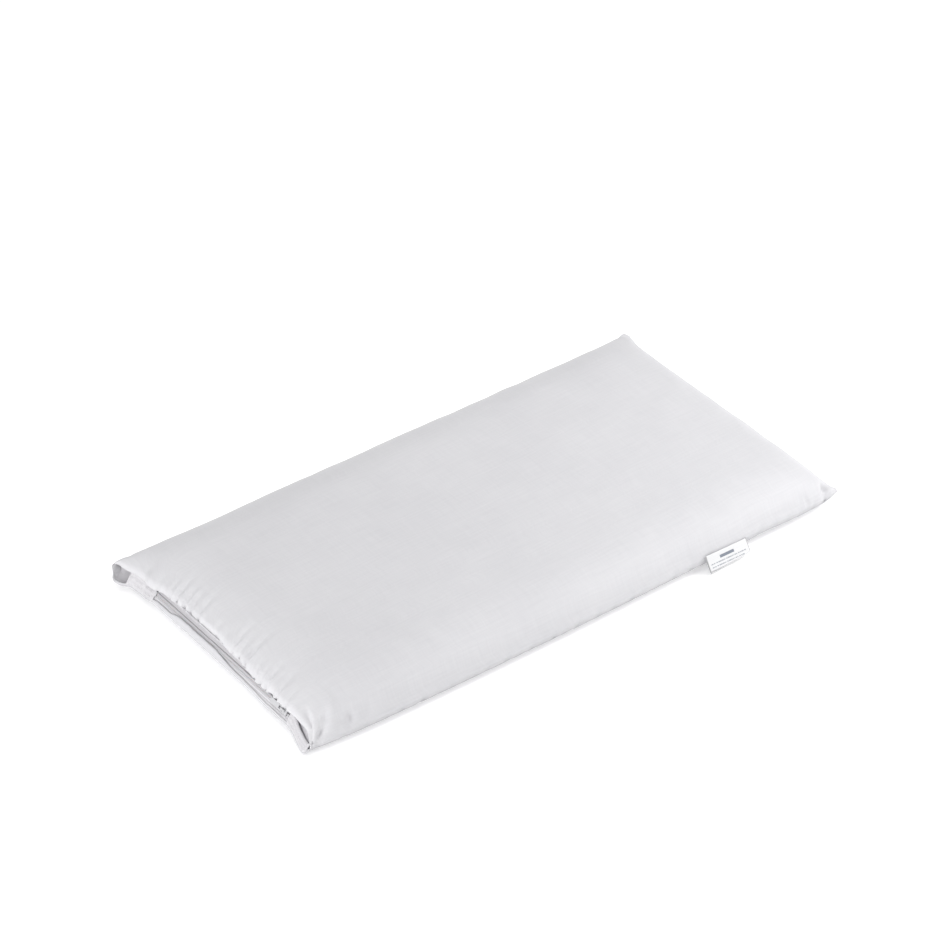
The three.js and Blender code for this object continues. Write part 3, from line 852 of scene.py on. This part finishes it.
def case_bottom():
    """The underside panel: it lies flat on the floor and rises to the seams and the mouth."""
    u, v = grid(U_BOTTOM, V_BOTTOM)
    base = stretched(u, v, lower_lip, 0.0, BELLY_REACH, UNDERSIDE_ROUNDNESS, -PANEL_GAP)
    x, y = base[..., 0], base[..., 1]
    distances = edge_distances(base)
    from_zip, from_end, from_front, from_back = distances
    relief = puckers(x, from_front, ALONG_SIDE, (10, 30), (0.2, 0.7), (4, 10), (1.8, 3.0), 0.2)
    relief += puckers(x, from_back, ALONG_SIDE, (10, 30), (0.2, 0.7), (4, 10), (1.8, 3.0), 0.2)
    relief += puckers(y, from_end, ALONG_END, (9, 24), (0.3, 0.9), (5, 11), (1.8, 3.0), 0.2)
    relief += puckers(y, from_zip, (-128, 128), (14, 30), (0.1, 0.5), (5, 9), (2.5, 4.5), 0.2)
    inner_share = smooth(np.minimum.reduce(distances) / 30)
    relief += (undulation(x, y, 60, 0.10, 6) - 0.15) * inner_share
    outer = base - grid_normals(base) * relief[..., None]
    draw_in(outer, distances)
    outer[..., 2] = np.maximum(outer[..., 2], 0.0)
    rows = flap_rows(outer[0])
    outer = np.concatenate([np.stack(rows[::-1]), outer])
    inner = outer + grid_normals(outer) * CLOTH
    # The underside wears the darker copy of the case cloth: painted shade
    piece = shell("pillow_case_underside", outer, inner, SHADED_UNDERSIDE_CLOTH)
    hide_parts("case_bottom_panel")


# ---- The zip ----
ZIP_SPAN = (-112, 126)  # the tapes' two ends along Y
COIL_SPAN = (-96.6, 97.0)
COIL_PITCH = 1.25
COIL_SEAT = -0.95  # how far out of the mouth the coils lie
FIRST_STITCH, LAST_STITCH = -104.0, 98
STITCH_PITCH, STITCH_LENGTH = 2.8, 2.1


def zip_point(across, along, out):
    """Points in the mouth's own directions, in millimetres from its middle."""
    across, along, out = (np.asarray(part, float)[..., None] for part in (across, along, out))
    return ZIP_CENTRE + across * ACROSS + along * ALONG + out * OUTWARD


def zip_tape(name, node, low, high, cloth):
    """A woven tape with a corded edge by the coil, a little wavy along its free edge."""
    share, along = grid(np.linspace(0, 1, 11), np.linspace(*ZIP_SPAN, 160))
    across = low + (high - low) * share
    away = np.abs(across)
    wave = undulation(along, 0 * along, 26, 0.12, 5) * away / 8
    cord = 0.22 * bell(away - 1.5, 0.5) + 0.75 * bell(away - 3.0, 0.8)
    climb = 1.3 * smooth((away - 2.5) / 4.5)
    outer = zip_point(across, along, -1.8 + climb + wave + cord)
    inner = zip_point(across, along, -2.3 + climb + wave)
    piece = shell(name, outer, inner, cloth)
    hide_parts(node)


def zip_coil(name, node, side):
    """A coil of nylon: flattened loops, half a pitch out of step with the other side's."""
    start, end = COIL_SPAN
    loops = int((end - start) / COIL_PITCH)
    turn = np.linspace(0, TURN * loops, 12 * loops + 1)
    step = 0.5 * COIL_PITCH if side > 0 else 0
    along = np.minimum(start + 0.3 + COIL_PITCH * (turn / TURN) + step, end - 0.2)
    reach = np.clip(1.35 * np.cos(turn), -1, 1)
    path = zip_point(side * (1.05 - 1.15 * reach), along, COIL_SEAT + 0.42 * np.sin(turn))
    strands = Strands(0.29, sides=6)
    strands.add(path, ALONG)
    piece = strands.make(name, NYLON)
    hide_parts(node)
    # The filler cord is coloured with the upper tape's grey, painted shade inside the coil
    cord = Strands(0.8, sides=8)
    cord.add(zip_point(side * 1.2, np.linspace(start, end, 120), COIL_SEAT), ACROSS)
    cord.make(name.replace("loops", "filler_cord"), SHADED_TAPE)


def tape_stitches():
    """Two rows of lockstitch that hold the lips of the mouth to the tapes."""
    strands = Strands(0.17, sides=5)
    for across, out in ((5.4, -0.9), (-4.9, -1.05)):
        y = FIRST_STITCH
        while y < LAST_STITCH:
            start = zip_point(across, y, out)
            strands.stitch(start, start + STITCH_LENGTH * ALONG, OUTWARD, 0.22)
            y += STITCH_PITCH
    strands.make("zip_tape_stitching", THREAD)


# ---- The tabs over the zip's ends ----
ZIP_FRONT_WIDTH = HALF_WIDTH - FRONT_NARROWING - ZIP_FRONT_TUCK  # to its front tip
GUSSET_CLOTH = 0.6
ZIGZAG_HOPS = 32
ZIGZAG_ROWS = ((2, 7), (10, 15), (18, 22))  # the grid rows that each zigzag runs between


def lip_line(lip, lowered):
    """A tab's edge: a lip of the mouth, lowered a little across it."""

    def line(y):
        v = y / np.where(y < 0, ZIP_FRONT_WIDTH, HALF_WIDTH)
        x, z = lip(v)
        return xyz(x, y, z) - lowered * ACROSS

    return line


def drooping_edge(y):
    """The front tab's upper edge: it leaves the upper lip and falls away towards the floor."""
    v = y / ZIP_FRONT_WIDTH
    x, z = lower_lip(v)
    width = 11.5 - 3.0 * smooth((-y - 104) / 18)
    lean = smooth((-y - 104) / 30)
    across = ACROSS * (1 - lean)[:, None] + np.array([0.62, -0.05, 0.78]) * lean[:, None]
    return xyz(x, y, z) + across * width[:, None]


def tab(name, node, start, end, high_edge):
    """A folded, bound tab over an end of the mouth, with zigzags of thread over it."""
    steps, rows = 50, 25
    places = np.linspace(start, end, steps)
    low = lip_line(lower_lip, 0.4)(places)
    s = np.linspace(0, 1, rows)[:, None]
    surface = low + (high_edge(places) - low) * s[..., None]
    if end > 0:
        surface = surface[:, ::-1]
    normal = grid_normals(surface)
    outward = np.sign(np.mean(normal @ OUTWARD))
    normal = normal * outward
    y = np.abs(surface[..., 1])
    rounding = (1 - np.abs(2 * s - 1) ** 6) ** 0.5
    ends = (1 - np.abs(2 * (y - abs(start)) / abs(end - start) - 1).clip(0, 1) ** 20) ** 0.5
    proud = 0.35 + 0.75 * smooth((y - 110) / 6)
    bumps = undulation(surface[..., 1], surface[..., 2], 6, 0.14, 6)
    outer = surface + normal * (rounding * ends * (proud + bumps))[..., None]
    inner = surface - normal * (0.35 + 0.5 * rounding * ends)[..., None]
    if outward < 0:
        outer, inner = outer[:, ::-1], inner[:, ::-1]
        normal = normal[:, ::-1]
    piece = shell(name, outer, inner, TAB_CLOTH)
    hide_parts(node)

    strands = Strands(0.18, sides=6)
    columns = [int(round(k / ZIGZAG_HOPS * (steps - 5))) + 2 for k in range(ZIGZAG_HOPS + 1)]
    for k in range(ZIGZAG_HOPS):
        for low_row, high_row in ZIGZAG_ROWS:
            first, second = (low_row, high_row) if k % 2 else (high_row, low_row)
            here, there = columns[k], columns[k + 1]
            strands.stitch(outer[first, here], outer[second, there], normal[first, here], 0.12)
    strands.make(name + "_zigzag", THREAD)


def gusset(name, start, end, depth, cloth):
    """A sheet that closes a corner of the mouth, depth inside its lips at its deepest. Coloured grey,
    it is painted shade where the corner's open inside lies in shade.
    """
    v, s = grid(np.linspace(start, end, 16), np.linspace(0.03, 0.97, 14))
    low_x, low_z = lower_lip(v)
    high_x, high_z = upper_lip(v)
    x = low_x + (high_x - low_x) * s
    z = low_z + (high_z - low_z) * s
    surface = xyz(x, side_reach(-1.0, v) * v, z)
    inside = depth * np.sin(math.pi * s) ** 0.6 + undulation(x, z, 7, 0.25, 5)
    outer = surface - inside[..., None] * OUTWARD
    shell(name, outer, outer - GUSSET_CLOTH * OUTWARD, cloth)


# ---- The label ----
LABEL_LOW, LABEL_HIGH = box_mm("care_label")
LEAF_GAP = 0.42  # half the gap between the ribbon's two leaves
RIBBON = 0.22  # the ribbon's thickness


def label():
    """A ribbon folded in two: it leaves the seam, hangs nearly to the floor, and folds back up."""
    width = LABEL_HIGH[0] - LABEL_LOW[0]
    across, down = grid(np.linspace(0, 1, 30), np.linspace(0, 1, 34))
    # down is 0 at the front leaf's seam, 0.5 at the fold, and 1 at the back leaf's seam
    leaf = 1 - np.abs(2 * down - 1)
    apart = np.where(down < 0.5, -LEAF_GAP, LEAF_GAP) * (0.35 + 0.65 * smooth(leaf / 0.15))
    apart = apart * np.clip((1 - leaf) / 0.12, 0, 1) ** 0.5
    x = LABEL_LOW[0] + width * across
    root = -side_reach(x / HALF_LENGTH, -1.0) - 0.15
    out = LABEL_LOW[1] + 1.8 + 2.5 * across
    ripple = 0.8 * np.sin(across * 5.0 + 0.7) * leaf + 0.5 * np.sin(across * 11 + leaf * 3) * leaf**2
    y = root + (out - root) * leaf**1.15 + ripple * 0.5 + apart
    top = LABEL_HIGH[2] + 1.8 * (1 - across)
    foot = LABEL_LOW[2] + 2.2 + 1.4 * across
    outer = xyz(x, y, top + (foot - top) * leaf)
    inner = outer - grid_normals(outer) * RIBBON
    leaf_length = float(np.mean(np.hypot(top - foot, out - root)))
    look = label_look("label_print", width * MM, leaf_length * MM)
    piece = shell("care_label_ribbon", outer, inner, look, "label")
    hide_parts("care_label")


# ---- Inside: the pad and the seam allowances ----
PAD_LOW, PAD_HIGH = box_mm("pad_cover_top")
PAD_BOTTOM_LOW, PAD_BOTTOM_HIGH = box_mm("pad_cover_bottom")
PAD_SEAM = (PAD_LOW[2] + PAD_BOTTOM_HIGH[2]) / 2
PAD_SLACK = 5.0  # how much smaller the pad is on each side than its CAD cover
PAD_CLOTH = 0.6
PAD_GRID = (graded(540, 2.5, 7, 40), graded(274, 2.5, 6, 30))
BATT_INSET = 1.0
BATT_DEPTH = 1.2  # how far inside the cover the filling lies


def pad_surface(inset, level, reach, seam):
    """A surface of the inner pad, drawn in by inset from the pad cover's outline."""
    u, v = grid(*PAD_GRID)
    low = PAD_LOW[0] + inset + PAD_SLACK
    high = PAD_HIGH[0] - inset - PAD_SLACK
    side = PAD_HIGH[1] - inset - PAD_SLACK
    x = low + (high - low) * (u + 1) / 2
    y = side * v
    lengthways = round_edge(np.minimum(x - low, high - x), reach, PAD_ROUNDNESS)
    rise = lengthways * round_edge(side - np.abs(y), reach, PAD_ROUNDNESS)
    return xyz(x, y, seam + (level - seam) * rise), rise


def inner_pad():
    """The pad's cover, above and below, and the filling in it."""
    for name, node, level, reach, sign in (
        ("inner_pad_cover_top", "pad_cover_top", PAD_HIGH[2], CROWN_REACH, 1),
        ("inner_pad_cover_underside", "pad_cover_bottom", PAD_BOTTOM_LOW[2], BELLY_REACH, -1),
    ):
        seam = PAD_SEAM + PANEL_GAP * sign
        outer, rise = pad_surface(0, level, reach, seam)
        inner = pad_surface(PAD_CLOTH, level - PAD_CLOTH * sign, reach, seam)[0]
        ripple = undulation(outer[..., 0], outer[..., 1], 40, 0.08, 6) - 0.15
        for layer in (outer, inner):
            layer[..., 2] += sign * ripple * rise
        piece = shell(name, outer, inner, LINING)
        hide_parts(node)
    top, rise = pad_surface(BATT_INSET, PAD_HIGH[2] - BATT_DEPTH, CROWN_REACH, PAD_SEAM + PANEL_GAP)
    low_level = PAD_BOTTOM_LOW[2] + BATT_DEPTH
    bottom = pad_surface(BATT_INSET, low_level, BELLY_REACH, PAD_SEAM - PANEL_GAP)[0]
    tufts = undulation(top[..., 0], top[..., 1], 22, 0.25, 9) - 0.5
    top[..., 2] += tufts * rise
    batt = shell("fibre_batt", top, bottom, FIBRE)
    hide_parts("fibre_fill")


def overlock(strands, line, inward, along):
    """Loops of thread round a strip's edge; inward points into it, and along runs beside it."""
    pitch, half_depth, half_height = 2.4, 1.2, 0.85
    run = np.concatenate([[0], np.cumsum(np.linalg.norm(np.diff(line, axis=0), axis=1))])
    loops = int(run[-1] / pitch)
    turn = np.linspace(0, TURN * loops, 8 * loops + 1)
    place = turn / turn[-1] * run[-1]
    path = np.stack([np.interp(place, run, line[:, k]) for k in range(3)], axis=1)
    path += half_depth * np.cos(turn)[:, None] * np.array(inward)
    path[:, 2] += half_height * np.sin(turn)
    strands.add(path, along)


def seam_points(u, v):
    """Points of the seam that joins the two panels."""
    u, v = np.broadcast_arrays(u, v)
    low = upper_lip(v)[0]
    x = low + (sewn_end(v) - low) * (u + 1) / 2
    return xyz(x, side_reach(u, v) * v, seam_height(u, v, lower_lip(v)[1]))


ALLOWANCE = (2.4, 8.0)  # where the turned-in cloth starts and ends inside the seam
ALLOWANCE_HALF = 0.5  # half the thickness of its two layers


def seam_allowances():
    """The cloth turned in at each sewn seam, with overlocking round its raw edge."""
    places = np.linspace(-0.9, 0.9, 150)
    depth = np.linspace(*ALLOWANCE, 7)[:, None]
    for name, node, line, inward, along in (
        ("seam_allowance_front", "case_seam_front", seam_points(places, -1), (0, 1, 0), (1, 0, 0)),
        ("seam_allowance_back", "case_seam_back", seam_points(places, 1), (0, -1, 0), (1, 0, 0)),
        ("seam_allowance_end", "case_seam_end", seam_points(1, places), (-1, 0, 0), (0, 1, 0)),
    ):
        inward = np.array(inward)
        surface = line[:, None] + depth * inward
        ripple = undulation(line[:, 0], line[:, 1], 18, 0.25, 5)[:, None]
        surface[..., 2] += ripple * depth[:, 0] / ALLOWANCE[1]
        half = np.array([0, 0, ALLOWANCE_HALF])
        piece = shell(name, surface + half, surface - half, CASE_CLOTH)
        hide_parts(node)
        strands = Strands(0.16, sides=5)
        overlock(strands, line + (ALLOWANCE[1] - 0.6) * inward, inward, along)
        strands.make(name + "_overlock", THREAD)


def pad_overlock():
    """Overlocking round the four edges of the inner pad."""
    low = PAD_LOW + PAD_SLACK
    high = PAD_HIGH - PAD_SLACK
    corners = [(low[0], low[1]), (high[0], low[1]), (high[0], high[1]), (low[0], high[1])]
    inwards = [(0, 1, 0), (-1, 0, 0), (0, -1, 0), (1, 0, 0)]
    strands = Strands(0.18, sides=5)
    for k in range(4):
        start = np.array([*corners[k], PAD_SEAM])
        side = np.array([*corners[(k + 1) % 4], PAD_SEAM]) - start
        line = start + side * np.linspace(0, 1, 60)[:, None]
        overlock(strands, line, inwards[k], np.abs(side) / np.linalg.norm(side))
    piece = strands.make("inner_pad_overlock", THREAD)
    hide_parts("pad_edge_overlock")


# ---- Assembly ----
case_top()
case_bottom()
# Both tapes are coloured with painted shade, the upper darker than the lower
zip_tape("zip_tape_weave_upper", "zip_tape_upper", 0.9, 7.6, SHADED_TAPE)
zip_tape("zip_tape_weave_lower", "zip_tape_lower", -7.3, -0.9, LOWER_TAPE)
zip_coil("zip_coil_loops_upper", "zip_coil_upper", 1)
zip_coil("zip_coil_loops_lower", "zip_coil_lower", -1)
tape_stitches()
tab("zip_tab_front", "zip_end_tab_front", -102, -137.5, drooping_edge)
tab("zip_tab_back", "zip_end_tab_back", 98.5, 132.5, lip_line(upper_lip, 1.0))
# The two corner sheets are grey as painted shade inside the corners of the mouth
gusset("corner_gusset_front_painted_shade", -0.76, -0.992, 2.2, SHADED_TAPE)
gusset("corner_gusset_back_painted_shade", 0.86, 0.985, 6.5, SHADED_TAPE)
seam_allowances()
pad_overlock()
label()
inner_pad()
for node in ("zip_top_stop_upper", "zip_top_stop_lower", "zip_bottom_stop", "zip_slider", "zip_pull"):
    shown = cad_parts[node]
    shown.data.materials.clear()
    shown.data.materials.append(SHADED_LACQUER)

# ---- Stage, light and camera ----
scene = bpy.context.scene
scene.view_settings.view_transform = "Standard"
FLOOR_HALF = 12.0
floor_corners = [(FLOOR_HALF * i, FLOOR_HALF * j, 0) for i, j in ((-1, -1), (1, -1), (1, 1), (-1, 1))]
floor_mesh = bpy.data.meshes.new("floor")
floor_mesh.from_pydata(floor_corners, [], [(0, 1, 2, 3)])
floor_mesh.materials.append(floor_look("pale_floor"))
floor = in_scene("floor", floor_mesh)

world = bpy.data.worlds.new("studio")
world.use_nodes = True
background = world.node_tree.nodes["Background"]
background.inputs["Color"].default_value = (1, 1, 1, 1)
background.inputs["Strength"].default_value = 0.50
scene.world = world


def facing(direction):
    """The turn that points a light or a camera in a direction."""
    return direction.to_track_quat("-Z", "Y").to_euler()


def softbox(name, place, aim, size, power):
    """A square area light at place, turned to face aim."""
    lamp = bpy.data.lights.new(name, "AREA")
    lamp.shape = "SQUARE"
    lamp.size = size
    lamp.energy = power
    holder = in_scene(name, lamp)
    holder.location = place
    holder.rotation_euler = facing(Vector(aim) - Vector(place))


softbox("overhead", place=(0, 0, 2.6), aim=(0, 0, 0), size=3.0, power=24)
softbox("right", place=(0.88, -0.48, 0.80), aim=(0.15, -0.07, 0), size=0.6, power=8.4)
softbox("zip_end_fill", place=(-1.7, -0.25, 0.40), aim=(-0.28, 0, 0.02), size=0.5, power=13.0)

AZIMUTH = math.radians(-37.44)
ELEVATION = math.radians(36.68)
TARGET = Vector((0.05996, 0.08354, 0))
DISTANCE = 3.2195
level_share = math.cos(ELEVATION)
back = Vector(
    (math.sin(AZIMUTH) * level_share, -math.cos(AZIMUTH) * level_share, math.sin(ELEVATION))
)
lens = bpy.data.cameras.new("camera")
lens.lens = 135
lens.sensor_width = 36
lens.clip_end = 60
camera = in_scene("camera", lens)
camera.location = TARGET + back * DISTANCE
camera.rotation_euler = facing(-back)
scene.camera = camera
